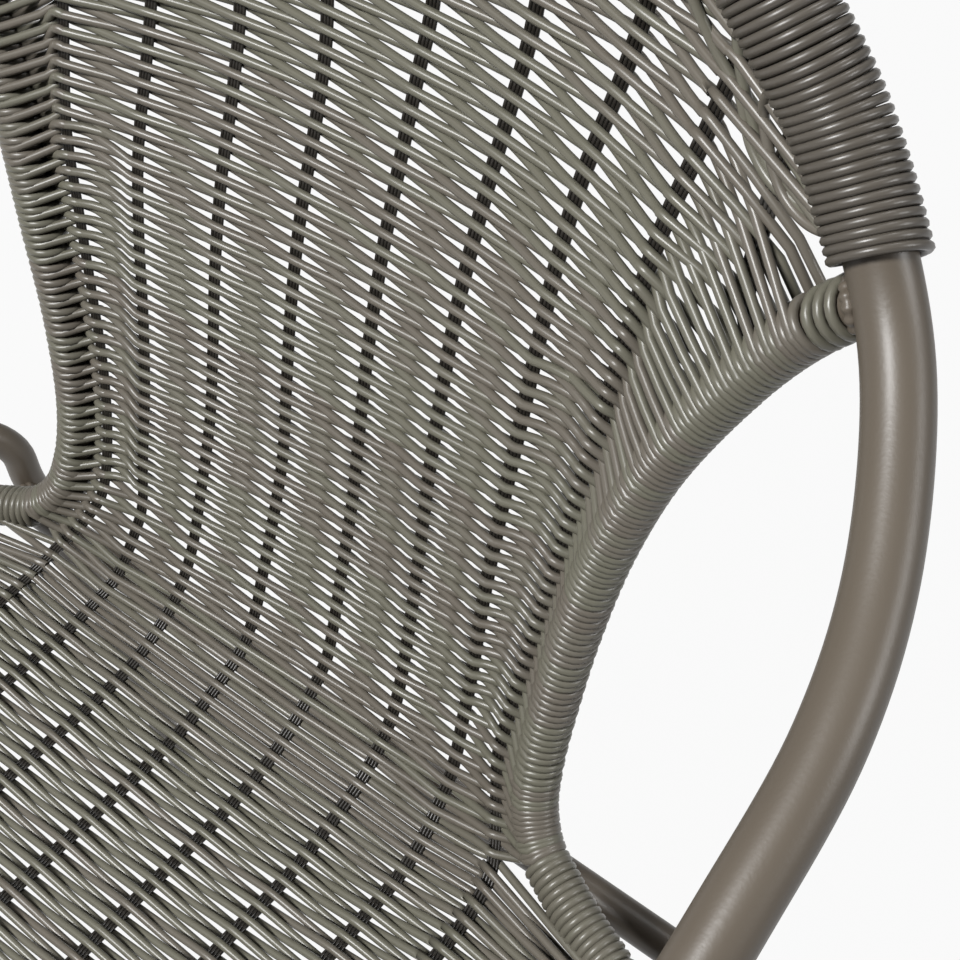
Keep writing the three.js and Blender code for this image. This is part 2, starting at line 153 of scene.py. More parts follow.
# The frame: aluminium tube bent and welded, then powder coated in a warm taupe.
# The coat is satin, with the faint orange peel that the powder leaves as it melts.
frame_coat = new_material("satin_powder_coat_on_aluminium")
spot = add_node(frame_coat, "ShaderNodeTexCoord")
drift = add_node(frame_coat, "ShaderNodeTexNoise", {"Scale": 9.0, "Detail": 3.0},
                 {"Vector": spot.outputs["Object"]})
tone = add_node(frame_coat, "ShaderNodeValToRGB", None, {"Fac": drift.outputs["Fac"]})
tone.color_ramp.elements[0].color = linear("#574f46")
tone.color_ramp.elements[1].color = linear("#60584d")
peel = add_node(frame_coat, "ShaderNodeTexNoise", {"Scale": 700.0, "Detail": 2.0},
                {"Vector": spot.outputs["Object"]})
relief = add_node(frame_coat, "ShaderNodeBump", {"Strength": 0.12, "Distance": 0.0004},
                  {"Height": peel.outputs["Fac"]})
gloss = add_node(frame_coat, "ShaderNodeMapRange", {"To Min": 0.36, "To Max": 0.46},
                 {"Value": drift.outputs["Fac"]})
coat = add_node(frame_coat, "ShaderNodeBsdfPrincipled", {"IOR": 1.5},
                {"Base Color": tone.outputs[0], "Roughness": gloss.outputs[0], "Normal": relief.outputs[0]})
add_node(frame_coat, "ShaderNodeOutputMaterial", None, {"Surface": coat.outputs[0]})

# The spigot inside the hoop stays as the CAD has it, under the same coat.
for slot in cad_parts["hoop_spigot"].material_slots:
    slot.material = frame_coat

STEPS_BETWEEN_POINTS = 12


def through(points, count):
    """count points evenly spaced on a smooth curve through the given points, in millimetres"""
    p = np.array(points, float)
    p = np.vstack([2 * p[0] - p[1], p, 2 * p[-1] - p[-2]])
    d = np.maximum(np.linalg.norm(np.diff(p, axis=0), axis=1) ** 0.5, 1e-6)
    runs = []
    for k in range(1, len(p) - 2):
        m1 = ((p[k] - p[k - 1]) / d[k - 1] - (p[k + 1] - p[k - 1]) / (d[k - 1] + d[k])
              + (p[k + 1] - p[k]) / d[k]) * d[k]
        m2 = ((p[k + 1] - p[k]) / d[k] - (p[k + 2] - p[k]) / (d[k] + d[k + 1])
              + (p[k + 2] - p[k + 1]) / d[k + 1]) * d[k]
        w = np.linspace(0, 1, STEPS_BETWEEN_POINTS, endpoint=False)[:, None]
        a = 2 * p[k] - 2 * p[k + 1] + m1 + m2
        b = -3 * p[k] + 3 * p[k + 1] - 2 * m1 - m2
        runs.append(p[k] + m1 * w + b * w * w + a * w ** 3)
    curve = np.vstack(runs + [p[-2:-1]])
    return spaced(curve, count)


def lengths(curve):
    return np.concatenate([[0], np.cumsum(np.linalg.norm(np.diff(curve, axis=0), axis=1))])


def at(curve, run, s):
    """the points at lengths s on a curve whose points lie at the lengths run"""
    return np.stack([np.interp(s, run, curve[:, i]) for i in range(3)], -1)


def spaced(curve, count):
    run = lengths(curve)
    return at(curve, run, np.linspace(0, run[-1], count))


SMOOTHING_ANGLE = math.radians(40)


def bent_tubes(name, lines, radius, node_names, swell=None):
    """tubes along the lines (millimetres), as bevelled curves made mesh, in place of CAD nodes;
    with a swell, which varies the thickness along it, each line is a closed ring"""
    deselect()
    bpy.ops.curve.primitive_bezier_curve_add(location=(0, 0, 0))
    tube = bpy.context.object
    tube.name = name
    tube.data.splines.clear()
    tube.data.bevel_depth = radius / 1000
    tube.data.bevel_resolution = 10
    tube.data.use_fill_caps = True
    for line in lines:
        points = np.hstack([np.array(line) / 1000, np.ones((len(line), 1))])
        spline = tube.data.splines.new("POLY")
        spline.points.add(len(points) - 1)
        spline.points.foreach_set("co", points.ravel())
        if swell is not None:
            spline.points.foreach_set("radius", swell)
            spline.use_cyclic_u = True
    bpy.ops.object.convert(target="MESH")
    bpy.ops.object.shade_smooth_by_angle(angle=SMOOTHING_ANGLE)
    tube.data.name = name
    tube.data.materials.clear()
    tube.data.materials.append(frame_coat)
    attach(tube, "root")
    if node_names:
        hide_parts(*node_names)


# The hoop: one round tube of 22 mm in two bent halves. Each is a front leg, an
# arm and half of the top; the joint over the inner spigot is under the coil.
HOOP_RADIUS = 11
HOOP = ((250, -224, 7), (254, -218, 120), (259, -211, 240), (263, -201, 345), (268, -182, 435),
        (273, -150, 508), (278, -102, 566), (282, -42, 613), (285, 20, 649), (285, 72, 674),
        (282, 124, 696), (270, 168, 714), (248, 209, 740), (230, 227.5, 760.6), (202, 238.7, 797.3),
        (182.5, 239.2, 821.7), (161.6, 239.6, 843.3), (135, 241.4, 861.3), (99.5, 246.3, 874.4),
        (50, 252.5, 883), (0, 253, 884))
TO_RIGHT = np.array((-1, 1, 1))
HOOP_STEPS = 260
hoop_line = through(HOOP, count=1800)
bent_tubes("hoop_half_left", [spaced(hoop_line, HOOP_STEPS)], HOOP_RADIUS, ["hoop_tube_left"])
bent_tubes("hoop_half_right", [spaced(hoop_line, HOOP_STEPS) * TO_RIGHT], HOOP_RADIUS, ["hoop_tube_right"])


# The side bars: 14 mm tube from each arm in to the waist, then out and round
# under the edge of the seat, where the front bar closes the loop.
BAR_RADIUS = 7
BAR = ((231.8, 226.2, 761), (209, 228.7, 733.3), (191.5, 224.4, 705.5), (170, 214, 658.4),
       (157.6, 205.4, 612.8), (149, 198.9, 560.5), (145, 190.7, 510.8), (145.5, 182.2, 481.9),
       (150, 173.1, 462.1), (160.8, 163.9, 449.6), (177.7, 156, 444.6), (196, 148.1, 441.1),
       (217.4, 139.5, 438.7), (233.9, 122.2, 437.3), (240.8, 92.2, 436.4), (243, 0, 436),
       (242, -100, 437), (236, -172, 437), (218, -214, 437), (183, -241, 437), (150, -251, 437),
       (115, -255.5, 437), (60, -258, 437), (0, -258.5, 437))
FRONT_JOINT_X = 115
FRONT_JOINT_Y = -240
TUBE_STEP = 5
bar_line = through(BAR, count=1600)
whole_bar = np.vstack([bar_line, (bar_line[::-1] * TO_RIGHT)[1:]])
joint = int(np.argmax((bar_line[:, 0] < FRONT_JOINT_X) & (bar_line[:, 1] < FRONT_JOINT_Y)))
bent_tubes("side_bar_bent_left", [bar_line[:joint:TUBE_STEP]], BAR_RADIUS, ["side_bar_left"])
bent_tubes("side_bar_bent_right", [bar_line[:joint:TUBE_STEP] * TO_RIGHT], BAR_RADIUS, ["side_bar_right"])
front_half = bar_line[joint - TUBE_STEP:]
front_run = np.vstack([front_half, (front_half[::-1] * TO_RIGHT)[1:]])
bent_tubes("front_bar_bowed", [front_run[::TUBE_STEP]], BAR_RADIUS, ["front_bar"])


# The rear legs: 18 mm tube, bent forward under the seat and carried along to the
# front legs, with a straight crossbar behind and a bowed one in front.
LEG_RADIUS = 9
REAR_LEG = ((231, 256, 7), (229, 237, 140), (227, 218, 280), (232.8, 201.4, 389.4), (235.1, 199.4, 413.3),
            (242.5, 189.5, 428.1), (253, 168.8, 432.4), (262, 133, 431.6), (265.1, 61.1, 429.8),
            (267, -60, 430), (268, -178, 430))
REAR_CROSSBAR_HALF = 228
REAR_CROSSBAR_Y = 190
REAR_CROSSBAR_Z = 385
FRONT_CROSSBAR = ((-262, -190, 416.5), (-234, -190, 416.5), (-170, -190, 407), (0, -190, 404.5),
                  (170, -190, 407), (234, -190, 416.5), (262, -190, 416.5))
rear_line = through(REAR_LEG, count=1000)
bent_tubes("rear_leg_bent_left", [rear_line[::TUBE_STEP]], LEG_RADIUS, ["rear_leg_left"])
bent_tubes("rear_leg_bent_right", [rear_line[::TUBE_STEP] * TO_RIGHT], LEG_RADIUS, ["rear_leg_right"])
rear_cross_xs = np.linspace(-REAR_CROSSBAR_HALF, REAR_CROSSBAR_HALF, 12)
rear_cross = np.array([(x, REAR_CROSSBAR_Y, REAR_CROSSBAR_Z) for x in rear_cross_xs], float)
bent_tubes("rear_crossbar_tube", [rear_cross], LEG_RADIUS, ["rear_crossbar"])
front_cross = through(FRONT_CROSSBAR, count=90)
bent_tubes("front_crossbar_tube", [front_cross], LEG_RADIUS, ["front_crossbar"])


# The welds: a bead laid by hand round the end of each tube, in short overlapping
# ripples, under the same coat.
BEAD_RADIUS = 2.1
BEAD_POINTS = 96
BEAD_RIPPLES = 15
BEAD_RIPPLE_DEPTH = 0.16
BEAD_OFF_BAR = 0.9
BEAD_OFF_HOST = 0.6
HOST_NEAR = 50
REACH_BACK = -22
REACH_FORWARD = 30
REACH_STEPS = 400
REACH_BAR_END = 170


def bead(bar, bar_radius, host, host_radius, start):
    """closed line of the bead where a bar, near its point of that number, runs into the host tube:
    each of its points is the first along the bar that is clear of the host, but none comes before
    the step REACH_BAR_END, just short of where the bar starts"""
    c, t = bar[start], bar[start + 2] - bar[start]
    t = t / np.linalg.norm(t)
    host = host[np.linalg.norm(host - c, axis=1) < HOST_NEAR]
    a = np.cross(t, (0.1, 0.2, 1.0))
    a /= np.linalg.norm(a)
    b = np.cross(t, a)
    ring = []
    for angle in np.linspace(0, 2 * math.pi, BEAD_POINTS, endpoint=False):
        p = c + (bar_radius + BEAD_OFF_BAR) * (math.cos(angle) * a + math.sin(angle) * b)
        reach = p + np.linspace(REACH_BACK, REACH_FORWARD, REACH_STEPS)[:, None] * t
        gap = np.linalg.norm(reach[:, None] - host[None], axis=2).min(axis=1)
        outside = np.nonzero(gap > host_radius + BEAD_OFF_HOST)[0]
        first = outside[outside > np.argmin(gap)][0] if len(outside) else 0
        ring.append(reach[max(first, REACH_BAR_END)])
    return np.array(ring)


ripple_angles = np.linspace(0, 2 * math.pi * BEAD_RIPPLES, BEAD_POINTS, endpoint=False)
ripple = 1 + BEAD_RIPPLE_DEPTH * np.sin(ripple_angles)
arm_bead = bead(bar_line, BAR_RADIUS, hoop_line, HOOP_RADIUS, start=4)
bent_tubes("arm_weld_bead_left", [arm_bead], BEAD_RADIUS, ["arm_weld_left"], ripple)
bent_tubes("arm_weld_bead_right", [arm_bead * TO_RIGHT], BEAD_RADIUS, ["arm_weld_right"], ripple)
leg_bead = bead(rear_line[::-1], LEG_RADIUS, hoop_line, HOOP_RADIUS, start=2)
cross_bead = bead(spaced(rear_cross[::-1], count=600), LEG_RADIUS, rear_line, LEG_RADIUS, start=4)
bow_bead = bead(spaced(front_cross[::-1], count=600), LEG_RADIUS, hoop_line, HOOP_RADIUS, start=4)
beads = [line * side for line in (leg_bead, cross_bead, bow_bead) for side in (1, TO_RIGHT)]
bent_tubes("frame_weld_beads", beads, BEAD_RADIUS, [], ripple)


# The glides: feet of injection moulded plastic pushed into the leg ends, dark
# grey brown, with the fine spark texture of the mould.
glide_plastic = new_material("moulded_polyamide_spark_texture")
spot = add_node(glide_plastic, "ShaderNodeTexCoord")
spark = add_node(glide_plastic, "ShaderNodeTexNoise", {"Scale": 1500.0, "Detail": 2.0},
                 {"Vector": spot.outputs["Object"]})
tone = add_node(glide_plastic, "ShaderNodeValToRGB", None, {"Fac": spark.outputs["Fac"]})
tone.color_ramp.elements[0].color = linear("#35322e")
tone.color_ramp.elements[1].color = linear("#433f3a")
relief = add_node(glide_plastic, "ShaderNodeBump", {"Strength": 0.3, "Distance": 0.0002},
                  {"Height": spark.outputs["Fac"]})
plastic = add_node(glide_plastic, "ShaderNodeBsdfPrincipled", {"Roughness": 0.55},
                   {"Base Color": tone.outputs[0], "Normal": relief.outputs[0]})
add_node(glide_plastic, "ShaderNodeOutputMaterial", None, {"Surface": plastic.outputs[0]})

GLIDE_RADIUS = 0.0128
GLIDE_RIM_HEIGHT = 0.0062
GLIDE_NECK_INSET = 0.0022
GLIDE_NECK_HEIGHT = 0.004
GLIDE_ROUNDING = 0.0011
FACING_UP = 0.9
GLIDE_FEET = (("front_glide_left", "front_foot_left", 250, -224),
              ("front_glide_right", "front_foot_right", -250, -224),
              ("rear_glide_left", "rear_foot_left", 231, 256),
              ("rear_glide_right", "rear_foot_right", -231, 256))
for node_name, piece_name, x, y in GLIDE_FEET:
    deselect()
    bpy.ops.mesh.primitive_cylinder_add(vertices=48, radius=GLIDE_RADIUS, depth=GLIDE_RIM_HEIGHT,
                                        location=(x / 1000, y / 1000, GLIDE_RIM_HEIGHT / 2))
    glide = bpy.context.object
    glide.name = piece_name
    bpy.ops.object.mode_set(mode="EDIT")
    bpy.ops.mesh.select_mode(type="FACE")
    bpy.ops.mesh.select_all(action="DESELECT")
    bpy.ops.object.mode_set(mode="OBJECT")
    for face in glide.data.polygons:
        face.select = face.normal.z > FACING_UP
    bpy.ops.object.mode_set(mode="EDIT")
    bpy.ops.mesh.inset(thickness=GLIDE_NECK_INSET)
    bpy.ops.mesh.extrude_region_move(TRANSFORM_OT_translate={"value": (0, 0, GLIDE_NECK_HEIGHT)})
    bpy.ops.object.mode_set(mode="OBJECT")
    rounded = glide.modifiers.new("rounded_rims", "BEVEL")
    rounded.width = GLIDE_ROUNDING
    rounded.segments = 3
    bpy.ops.object.modifier_apply(modifier="rounded_rims")
    bpy.ops.object.transform_apply(location=True, rotation=True, scale=True)
    bpy.ops.object.shade_smooth_by_angle(angle=SMOOTHING_ANGLE)
    glide.data.materials.append(glide_plastic)
    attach(glide, "root")
    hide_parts(node_name)


# The strand: round polyethylene rattan, extruded about 3.7 mm thick and coloured
# through in taupe grey. Each length has its own slight green or pink cast, and
# the die leaves fine lines along it under a satin skin.
STRAND = 3.7


def extruded_strand(name, colours):
    """material of a strand from three colours that its lengths drift between"""
    plastic = new_material(name)
    length_tint = add_node(plastic, "ShaderNodeAttribute", {"attribute_name": "tint"})
    along = add_node(plastic, "ShaderNodeUVMap", {"uv_map": "along"})
    stretch = add_node(plastic, "ShaderNodeMapping", {"Scale": (22.0, 5.0, 1.0)},
                       {"Vector": along.outputs[0]})
    cast = add_node(plastic, "ShaderNodeTexNoise", {"Scale": 1.0, "Detail": 2.0},
                    {"Vector": stretch.outputs[0]})
    mixed = add_node(plastic, "ShaderNodeMath", {"operation": "MULTIPLY_ADD", 1: 0.5},
                     {0: cast.outputs["Fac"], 2: length_tint.outputs["Fac"]})
    tone = add_node(plastic, "ShaderNodeValToRGB", None, {"Fac": mixed.outputs[0]})
    tone.color_ramp.elements[0].color = linear(colours[0])
    tone.color_ramp.elements[0].position = 0.2
    tone.color_ramp.elements[1].color = linear(colours[2])
    tone.color_ramp.elements[1].position = 1.1
    middle = tone.color_ramp.elements.new(0.6)
    middle.color = linear(colours[1])
    die_lines = add_node(plastic, "ShaderNodeMapping", {"Scale": (60.0, 40.0, 1.0)},
                         {"Vector": along.outputs[0]})
    lines = add_node(plastic, "ShaderNodeTexNoise", {"Scale": 1.0, "Detail": 2.0},
                     {"Vector": die_lines.outputs[0]})
    relief = add_node(plastic, "ShaderNodeBump", {"Strength": 0.1, "Distance": 0.0002},
                      {"Height": lines.outputs["Fac"]})
    gloss = add_node(plastic, "ShaderNodeMapRange", {"To Min": 0.30, "To Max": 0.42},
                     {"Value": cast.outputs["Fac"]})
    skin = add_node(plastic, "ShaderNodeBsdfPrincipled", {"IOR": 1.52},
                    {"Base Color": tone.outputs[0], "Roughness": gloss.outputs[0],
                     "Normal": relief.outputs[0]})
    add_node(plastic, "ShaderNodeOutputMaterial", None, {"Surface": skin.outputs[0]})
    return plastic


strand_plastic = extruded_strand("extruded_polyethylene_strand", ("#645e55", "#666158", "#676559"))


def strands(name, lines, radius, sides, seed, plastic=strand_plastic):
    """a mesh of round strands along the given lines (millimetres), with its own length UV and tint"""
    rng = random.Random(seed)
    verts, faces, uvs, tints = [], [], [], []
    base = 0
    turn = np.linspace(0, 2 * math.pi, sides, endpoint=False)
    for line in lines:
        p = np.array(line, float)
        n = len(p)
        t = np.gradient(p, axis=0)
        t /= np.linalg.norm(t, axis=1)[:, None] + 1e-12
        side = np.cross(t[0], (0.3, 0.5, 0.81))
        side /= np.linalg.norm(side)
        sideways = np.empty((n, 3))
        for i in range(n):
            side = side - t[i] * side.dot(t[i])
            side /= np.linalg.norm(side)
            sideways[i] = side
        other = np.cross(t, sideways)
        ring = p[:, None] + radius * (np.cos(turn)[None, :, None] * sideways[:, None]
                                      + np.sin(turn)[None, :, None] * other[:, None])
        verts.append(ring.reshape(-1, 3))
        i = np.arange(n - 1)[:, None] * sides
        j = np.arange(sides)[None]
        k = (j + 1) % sides
        faces.append((np.stack([i + j, i + k, i + sides + k, i + sides + j], -1) + base).reshape(-1, 4))
        run = lengths(p) / 1000
        start = rng.random() * 5
        u0 = np.broadcast_to(run[:-1, None] + start, (n - 1, sides))
        u1 = np.broadcast_to(run[1:, None] + start, (n - 1, sides))
        v0 = np.broadcast_to(j / sides, (n - 1, sides))
        v1 = np.broadcast_to((j + 1) / sides, (n - 1, sides))
        uvs.append(np.stack([u0, v0, u0, v1, u1, v1, u1, v0], -1).reshape(-1, 2))
        tints.append(np.full((n - 1) * sides, rng.random()))
        base += n * sides
    verts = np.vstack(verts) / 1000
    faces = np.vstack(faces)
    mesh = bpy.data.meshes.new(name)
    mesh.vertices.add(len(verts))
    mesh.vertices.foreach_set("co", verts.ravel())
    mesh.loops.add(faces.size)
    mesh.loops.foreach_set("vertex_index", faces.ravel())
    mesh.polygons.add(len(faces))
    mesh.polygons.foreach_set("loop_start", np.arange(0, faces.size, 4))
    mesh.polygons.foreach_set("use_smooth", np.ones(len(faces), bool))
    mesh.update(calc_edges=True)
    layer = mesh.uv_layers.new(name="along")
    layer.data.foreach_set("uv", np.vstack(uvs).ravel())
    tint = mesh.attributes.new("tint", "FLOAT", "FACE")
    tint.data.foreach_set("value", np.concatenate(tints))
    mesh.materials.append(plastic)
    mesh.validate()
    piece = bpy.data.objects.new(name, mesh)
    bpy.context.collection.objects.link(piece)
    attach(piece, "root")
    return piece


# The stakes: eight flat bundles of four thin strands, coloured near black as painted
# shade for the shade that falls between the rows. Each runs from the front bar back
# over the seat, turns up through the crease and fans out to the hoop.
# A short ninth bundle on each side stands between the side bar and the hoop.
SEAT_LEVEL = 437
SEAT_HALF_WIDTH = 243
SEAT_SAG = 21
SAG_DEEPEST_Y = 80
SAG_LENGTH = 336
SEAT_YS = (-250, -200, -140, -70, 0, 60, 100)
SEAT_XS = {"centre": 23.3, "inner": 69.3, "outer": 110.3, "edge": 148.0}
STAKES = {
    "centre": ((23.2, 130, 420.7), (22.8, 150, 428.5), (22.2, 162, 435.4), (22.4, 171, 443),
               (23, 179.9, 455), (22.9, 185.7, 470), (21.8, 196, 500), (21, 208.5, 540),
               (21.2, 216.8, 580), (21.5, 225.4, 620), (21.7, 236.6, 660), (21.7, 251, 700),
               (22.6, 261, 730), (26, 268, 762), (29, 267, 815), (30, 256, 882)),
    "inner": ((67.9, 130, 421.8), (67.9, 150, 429.6), (67.6, 161, 437), (67.3, 170, 446),
              (67, 176.6, 455), (66.2, 183.5, 470), (64.9, 193, 500), (63, 204.4, 540),
              (62.4, 213, 580), (62.9, 221.9, 620), (63.2, 233, 660), (63.9, 248, 700),
              (66, 258.5, 730), (72, 266, 770), (79, 263, 822), (86, 251, 877)),
    "outer": ((109.7, 130, 421.5), (107.9, 150, 428.4), (106, 160, 434), (105.3, 169, 443),
              (104, 176.5, 455), (102.1, 183.4, 470), (102.1, 190.8, 500), (101.2, 199.9, 540),
              (102.1, 208.4, 580), (104, 216.3, 620), (105.2, 225.8, 660), (104.8, 239, 700),
              (106.3, 249.5, 730), (114, 259.5, 770), (124, 258, 810), (136, 245, 861)),
    "edge": ((147.8, 130, 426), (145.3, 148, 432), (141.5, 156, 439), (136, 164, 447),
             (130.5, 171.5, 457), (125.7, 178.7, 470), (125.6, 189.3, 500), (128.5, 198.8, 540),
             (132.8, 205.3, 580), (137.1, 211.4, 620), (141.4, 217.9, 660), (143.9, 228.8, 700),
             (146, 237, 730), (153.5, 249, 772), (162, 250, 806), (171, 240, 834)),
}
EAR = ((190, 229, 711), (184, 232, 722), (182, 235.5, 738), (182, 239, 754), (183, 241.5, 770),
       (186, 243, 790))


def seat_height(x, y):
    front = max(0.0, 1 - max(0.0, (SAG_DEEPEST_Y - y) / SAG_LENGTH) ** 3)
    return SEAT_LEVEL - SEAT_SAG * front * (1 - (x / SEAT_HALF_WIDTH) ** 2)


stake_lines = {}
for name, upper in STAKES.items():
    x = SEAT_XS[name]
    stake_lines[name] = through([(x, y, seat_height(x, y)) for y in SEAT_YS] + list(upper), count=1600)

STAKE_RADIUS = 0.8
STAKE_OFFSETS = (-2.46, -0.82, 0.82, 2.46)
# The stakes' near-black colour is painted shade, standing in for the shade between the rows of wefts.
stake_painted_shade_plastic = extruded_strand("extruded_polyethylene_stake_painted_shade", ("#26231f", "#292622", "#2d2a26"))
stake_routes = [spaced(line, count=200) for line in stake_lines.values()]
stake_routes.append(spaced(through(EAR, count=200), count=40))
stake_runs = [route * side + (offset, 0, 0)
              for route in stake_routes for side in (np.ones(3), TO_RIGHT) for offset in STAKE_OFFSETS]
stakes = strands("stake_bundles", stake_runs, STAKE_RADIUS, sides=8, seed=3, plastic=stake_painted_shade_plastic)
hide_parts("back_weave", "seat_weave")


# The wefts: single strands woven over and under the stakes. A row arrives over
# the side bar, is wound round it and goes back under it as the next row. On the
# bar the turns lie closer than the rows, so high in the back the rows hang down.
# No row reaches the rear corner of the bar, which one long winding covers.
# A station is a row whose place is known: its y at the centre stake on the seat,
# where the last two lie in the crease, and its z there in the back.
SEAT_STATIONS = (-246, -214, -172, -100, 0, 95, 152, 158)
BACK_STATIONS = (480, 520, 560, 600, 640, 680, 720, 760, 800, 840, 880)
SEAT_ENDS_Z = 470
BACK_BEGINS_Y = 150
CORNER_BEGINS_Y = 131
CORNER_TOP_Z = 438.5
CORNER_ENDS_Z = 448
RULED_OUT = 999

# A back row rises by so much at each stake, from right to left, against its z at
# the centre, and comes to the bar lower than at the edge stake.
RISE_HEIGHTS = (480, 560, 640, 720, 800, 880)
RISE = ((4, 12, 13, 9, 8, 8), (3, 9, 9, 7, 6, 6), (2, 6, 5, 4, 4, 4), (0, 1.5, 1.5, 1.5, 1.5, 1.5),
        (0, 1, -0.5, -2, -2, -2), (0, 3, -1, -5, -7, -9), (0.5, 5.5, 0, -7.5, -13, -16),
        (1.5, 6.5, 2, -10.5, -21, -27))
LANDING_FROM = (480, 520, 560, 600, 620, 650, 676, 700, 717, 740, 757, 775, 790)
LANDING_AT = (474, 514, 555, 595, 614, 638, 661, 681, 695, 711, 723, 734, 741)
upward_bar = bar_line[::-1]


def stations(line, heights):
    """lengths along a stake or bar at which the rows of the named stations cross it"""
    run = lengths(line)
    seat = line[:, 2] < SEAT_ENDS_Z
    found = [run[seat][np.argmin(abs(line[seat][:, 1] - y))] for y in SEAT_STATIONS]
    if line is upward_bar:
        above = RULED_OUT * (line[:, 2] > CORNER_TOP_Z)
        found[-2] = run[np.argmin(abs(line[:, 1] - CORNER_BEGINS_Y) + above)]
        found[-1] = run[np.argmin(abs(line[:, 2] - CORNER_ENDS_Z))]
    back = line[:, 1] > BACK_BEGINS_Y
    for z in heights:
        beyond = max(0, z - line[-1, 2])
        found.append(run[back][np.argmin(abs(line[back][:, 2] - z))] + beyond)
    return np.array(found)


crossed = []
order = ["edge", "outer", "inner", "centre", "centre", "inner", "outer", "edge"]
for k, name in enumerate(order):
    heights = np.array(BACK_STATIONS) + np.interp(BACK_STATIONS, RISE_HEIGHTS, RISE[k])
    side = TO_RIGHT if k < 4 else np.ones(3)
    line = stake_lines[name]
    crossed.append((line * side, lengths(line), stations(line, heights)))
    if k in (0, 7):
        beyond = np.maximum(0, heights - LANDING_FROM[-1])
        heights = np.interp(heights, LANDING_FROM, LANDING_AT) + beyond
        bar = (upward_bar * side, lengths(upward_bar), stations(upward_bar, heights))
        crossed.insert(0 if k == 0 else 9, bar)
centre_stations = stations(stake_lines["centre"], BACK_STATIONS)


def crossing(k, s):
    """where row s, named by its length along the centre stake, crosses stake or bar k"""
    line, run, places = crossed[k]
    return at(line, run, np.interp(s, centre_stations, places))


def room(k, s):
    """length of stake or bar k that is left above row s"""
    line, run, places = crossed[k]
    return run[-1] - np.interp(s, centre_stations, places)


# The pitch of the rows, by length along the centre stake, is wide where the seat
# turns up and at the top, and tight low in the back.
crease = centre_stations[5]
FIRST_ROW = 3.96
LAST_ROW = 3
PITCH_AT = (300, 345, 375, 400, 420, 440, 455, 475, 490, 514, 534, 574, 614, 654, 689, 719, 754, 789, 830)
PITCH = (3.87, 3.95, 4.12, 4.0, 3.7, 3.85, 4.3, 3.8, 3.58, 3.56, 3.62, 3.9, 3.74, 3.68, 3.75, 3.84, 4.05,
         4.27, 4.35)
rows = [centre_stations[0] + FIRST_ROW]
while rows[-1] < centre_stations[-1] - LAST_ROW:
    rows.append(rows[-1] + np.interp(rows[-1], PITCH_AT, PITCH))

OVER_AT = (300, 420, 600, 760)
OVER = (3.1, 2.6, 2.6, 3.1)


def over(s):
    """height of a row's strand over the stake it crosses, more where the weave is loose"""
    return np.interp(s, OVER_AT, OVER)


def over_side(k, s):
    """unit vector from the weave towards the sitter where row s crosses stake or bar k"""
    across = crossing(min(k + 1, 9), s) - crossing(max(k - 1, 0), s)
    normal = np.cross(across, crossing(k, s + 1) - crossing(k, s - 1))
    return normal / np.linalg.norm(normal)


# High in the back a row hooks down between the edge stake and the side bar. On its
# way out over the bar it turns near the stake, and where it comes back from under
# the bar it turns further out.
HOOKED_ABOVE = 664
NEAR_TURN_FROM = (664, 681, 698, 713, 724, 745, 760, 775, 790)
NEAR_TURN = ((149, 218, 660), (151, 221, 676), (153, 226, 692), (155, 229, 706), (157, 232, 717),
             (163, 238, 739), (171, 240, 749), (181, 240, 757), (190, 239, 763))
FAR_TURN_FROM = (664, 681, 698, 713, 724, 735, 750, 765, 790)
FAR_TURN = ((149, 218, 660), (151, 221, 676), (154, 226, 690), (160, 229, 702), (170, 231, 713),
            (180, 232, 726), (187, 233, 738), (192, 235, 749), (199, 237, 764))


def corner(k, s, way):
    """where a row hooks down between the edge stake k and the side bar, if it does; way is 1 for
    a row on its way out over the bar and -1 for one that comes back from under it"""
    edge = crossing(k, s)
    if edge[2] < HOOKED_ABOVE:
        return []
    heights, turns = (NEAR_TURN_FROM, NEAR_TURN) if way > 0 else (FAR_TURN_FROM, FAR_TURN)
    turn = np.array([np.interp(edge[2], heights, axis) for axis in zip(*turns)])
    lift = way * over(s) * over_side(k, s)
    return [turn * (np.sign(edge[0]), 1, 1) + 0.5 * lift]


# A row lies straight for a little on each side of a stake. Low in the back the rows
# are crowded beside the edge stakes, and are pushed up there.
STRAIGHT_HALF = 2.4
CROWDED_FROM = 480
CROWDED_RISE = 2.2
BETWEEN_STAKES = ((0.28, 0.5), (0.72, -0.5))


def woven_row(index, s, first, last):
    """points of one row from stake number first to stake number last"""
    path = []
    lifts = []
    for k in range(first, last + 1):
        p = crossing(k, s)
        hooked = p[2] > HOOKED_ABOVE
        before = 1 if hooked and k == 1 else k - 1
        beyond = 8 if hooked and k == 8 else k + 1
        along = crossing(beyond, s) - crossing(before, s)
        along /= np.linalg.norm(along)
        lift = (1 if (k + index) % 2 else -1) * over(s) * over_side(k, s)
        path += [p + lift - along * STRAIGHT_HALF, p + lift + along * STRAIGHT_HALF]
        lifts += [lift, lift]
    full = [path[0]]
    for i in range(1, len(path)):
        if i % 2 == 0:
            a, b = path[i - 1] - lifts[i - 1], path[i] - lifts[i]
            crowded = CROWDED_FROM < a[2] < HOOKED_ABOVE and first + i // 2 in (2, 8)
            for share, part in BETWEEN_STAKES:
                middle = a * (1 - share) + b * share + part * lifts[i - 1]
                full.append(middle + (0, 0, CROWDED_RISE if crowded else 0))
        full.append(path[i])
    return full


WOUND = BAR_RADIUS + STRAND / 2
ARRIVES_AT_DEGREES = -24
LEAVES_AT_DEGREES = 204
TURN_STEP_DEGREES = 36


